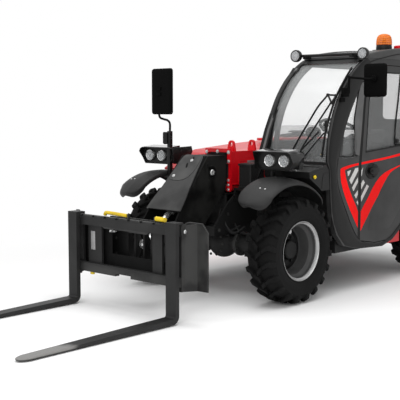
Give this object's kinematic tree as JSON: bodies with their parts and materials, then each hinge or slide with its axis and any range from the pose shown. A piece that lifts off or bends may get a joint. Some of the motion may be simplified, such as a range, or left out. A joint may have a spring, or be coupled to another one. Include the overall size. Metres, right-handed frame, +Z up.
{
  "type": "telehandler",
  "caption": "Compact telescopic handler: an offset driver cab, a telescopic boom with a gooseneck head and pallet forks on a tilting carriage, and steered wheels front and back.",
  "frame": {"origin": "bottom centre of the whole machine's bounding box with the boom down and in, on the ground", "axes": "+X forwards along the forks, +Y to the driver's left, +Z up"},
  "size_m": [4.55, 1.784, 1.9569],
  "materials": {
    "machine_red": "gloss paint",
    "hood_red": "gloss moulded panel",
    "frame_black": "satin black paint",
    "head_grey": "satin dark grey paint",
    "fork_black": "satin black, worn at the tips",
    "plastic_black": "grained black plastic",
    "plastic_grey": "grained dark grey plastic",
    "tyre": "black rubber",
    "rim_silver": "silver paint",
    "glass": "lightly tinted",
    "lamp_glass": "clear lens over a reflector",
    "amber": "amber lens",
    "seat_cover": "woven seat cover",
    "rod_chrome": "polished rod",
    "cast_iron": "painted casting"
  },
  "bodies": {
    "chassis": {"chassis_frame": "frame_black", "axles": "cast_iron", "fenders": "plastic_grey", "front_cowl": "plastic_black", "headlamp_housings": "plastic_black", "headlamps": "lamp_glass", "mirrors": "plastic_black", "cab_frame": "frame_black", "cab_side_frame": "plastic_grey", "cab_roof": "plastic_grey", "windshield": "glass", "cab_windows": "glass", "roof_light_bar": "plastic_black", "beacon": "amber", "seat": "seat_cover", "dashboard": "plastic_black", "counterweight": "cast_iron", "engine_tray": "frame_black", "engine": "cast_iron"},
    "outer_boom": {"boom_outer": "machine_red"},
    "inner_boom": {"boom_inner": "head_grey"},
    "fork_carriage": {"tool_carrier": "frame_black", "fork_frame": "fork_black"},
    "left_fork": {"fork_left": "fork_black"},
    "right_fork": {"fork_right": "fork_black"},
    "lift_barrel": {"lift_cylinder_barrel": "frame_black"},
    "lift_rod": {"lift_cylinder_rod": "rod_chrome"},
    "tilt_barrel": {"tilt_cylinder_barrel": "frame_black"},
    "tilt_rod": {"tilt_cylinder_rod": "rod_chrome"},
    "door": {"door_panel": "plastic_grey", "door_glass": "glass"},
    "hood": {"engine_hood": "hood_red"},
    "steering_wheel": {"steering_wheel": "plastic_black"},
    "front_left_steer": {"front_left_knuckle": "cast_iron"},
    "front_left_wheel": {"front_left_rim": "rim_silver", "front_left_tyre": "tyre"},
    "front_right_steer": {"front_right_knuckle": "cast_iron"},
    "front_right_wheel": {"front_right_rim": "rim_silver", "front_right_tyre": "tyre"},
    "rear_left_steer": {"rear_left_knuckle": "cast_iron"},
    "rear_left_wheel": {"rear_left_rim": "rim_silver", "rear_left_tyre": "tyre"},
    "rear_right_steer": {"rear_right_knuckle": "cast_iron"},
    "rear_right_wheel": {"rear_right_rim": "rim_silver", "rear_right_tyre": "tyre"}
  },
  "joints": [
    {"name": "boom_lift", "type": "hinge", "parent": "chassis", "child": "outer_boom", "pos_m": [-1.865, -0.141, 1.02], "axis": [0, -1, 0], "range_deg": [0, 66]},
    {"name": "boom_extension", "type": "slide", "parent": "outer_boom", "child": "inner_boom", "axis": [1, 0, 0], "range_m": [0, 1.15]},
    {"name": "carriage_tilt", "type": "hinge", "parent": "inner_boom", "child": "fork_carriage", "pos_m": [0.835, -0.141, 0.34], "axis": [0, 1, 0], "range_deg": [-13, 118]},
    {"name": "left_fork_slide", "type": "slide", "parent": "fork_carriage", "child": "left_fork", "axis": [0, -1, 0], "range_m": [0, 0.19]},
    {"name": "right_fork_slide", "type": "slide", "parent": "fork_carriage", "child": "right_fork", "axis": [0, 1, 0], "range_m": [0, 0.19]},
    {"name": "lift_barrel_swing", "type": "hinge", "parent": "chassis", "child": "lift_barrel", "pos_m": [-1.715, -0.141, 0.55], "axis": [0, -1, 0], "range_deg": [0, 57]},
    {"name": "lift_rod_slide", "type": "slide", "parent": "lift_barrel", "child": "lift_rod", "axis": [0.9782, 0, 0.2079], "range_m": [0, 0.522]},
    {"name": "tilt_barrel_swing", "type": "hinge", "parent": "inner_boom", "child": "tilt_barrel", "pos_m": [0.309, -0.141, 0.915], "axis": [0, 1, 0], "range_deg": [-0.4, 3.6]},
    {"name": "tilt_rod_slide", "type": "slide", "parent": "tilt_barrel", "child": "tilt_rod", "axis": [0.7515, 0, -0.6598], "range_m": [-0.021, 0.183]},
    {"name": "door_hinge", "type": "hinge", "parent": "chassis", "child": "door", "pos_m": [-1.445, 0.591, 1], "axis": [0, 0, 1], "range_deg": [0, 85]},
    {"name": "hood_hinge", "type": "hinge", "parent": "chassis", "child": "hood", "pos_m": [-0.865, -0.281, 1.05], "axis": [-1, 0, 0], "range_deg": [0, 70]},
    {"name": "front_left_steering", "type": "hinge", "parent": "chassis", "child": "front_left_steer", "pos_m": [0.035, 0.359, 0.377], "axis": [0, 0, 1], "range_deg": [-35, 35]},
    {"name": "front_left_wheel_spin", "type": "hinge", "parent": "front_left_steer", "child": "front_left_wheel", "pos_m": [0.035, 0.4765, 0.377], "axis": [0, 1, 0], "continuous": true},
    {"name": "front_right_steering", "type": "hinge", "parent": "chassis", "child": "front_right_steer", "pos_m": [0.035, -0.641, 0.377], "axis": [0, 0, 1], "range_deg": [-35, 35]},
    {"name": "front_right_wheel_spin", "type": "hinge", "parent": "front_right_steer", "child": "front_right_wheel", "pos_m": [0.035, -0.7585, 0.377], "axis": [0, 1, 0], "continuous": true},
    {"name": "rear_left_steering", "type": "hinge", "parent": "chassis", "child": "rear_left_steer", "pos_m": [-1.815, 0.359, 0.377], "axis": [0, 0, 1], "range_deg": [-35, 35]},
    {"name": "rear_left_wheel_spin", "type": "hinge", "parent": "rear_left_steer", "child": "rear_left_wheel", "pos_m": [-1.815, 0.4765, 0.377], "axis": [0, 1, 0], "continuous": true},
    {"name": "rear_right_steering", "type": "hinge", "parent": "chassis", "child": "rear_right_steer", "pos_m": [-1.815, -0.641, 0.377], "axis": [0, 0, 1], "range_deg": [-35, 35]},
    {"name": "rear_right_wheel_spin", "type": "hinge", "parent": "rear_right_steer", "child": "rear_right_wheel", "pos_m": [-1.815, -0.7585, 0.377], "axis": [0, 1, 0], "continuous": true},
    {"name": "steering_wheel_turn", "type": "hinge", "parent": "chassis", "child": "steering_wheel", "pos_m": [-0.835, 0.289, 1.21], "axis": [-0.5, 0, 0.866], "range_deg": [-420, 420]}
  ],
  "couplings": [
    {"joint": "lift_barrel_swing", "follows": "boom_lift", "ratio": 0.86},
    {"joint": "lift_rod_slide", "follows": "boom_lift", "m_per_rad": 0.452},
    {"joint": "tilt_barrel_swing", "follows": "carriage_tilt", "ratio": 0.03},
    {"joint": "tilt_rod_slide", "follows": "carriage_tilt", "m_per_rad": 0.088},
    {"joint": "front_right_steering", "follows": "front_left_steering", "ratio": 1},
    {"joint": "rear_left_steering", "follows": "front_left_steering", "ratio": -1},
    {"joint": "rear_right_steering", "follows": "front_left_steering", "ratio": -1},
    {"joint": "steering_wheel_turn", "follows": "front_left_steering", "ratio": 12}
  ]
}
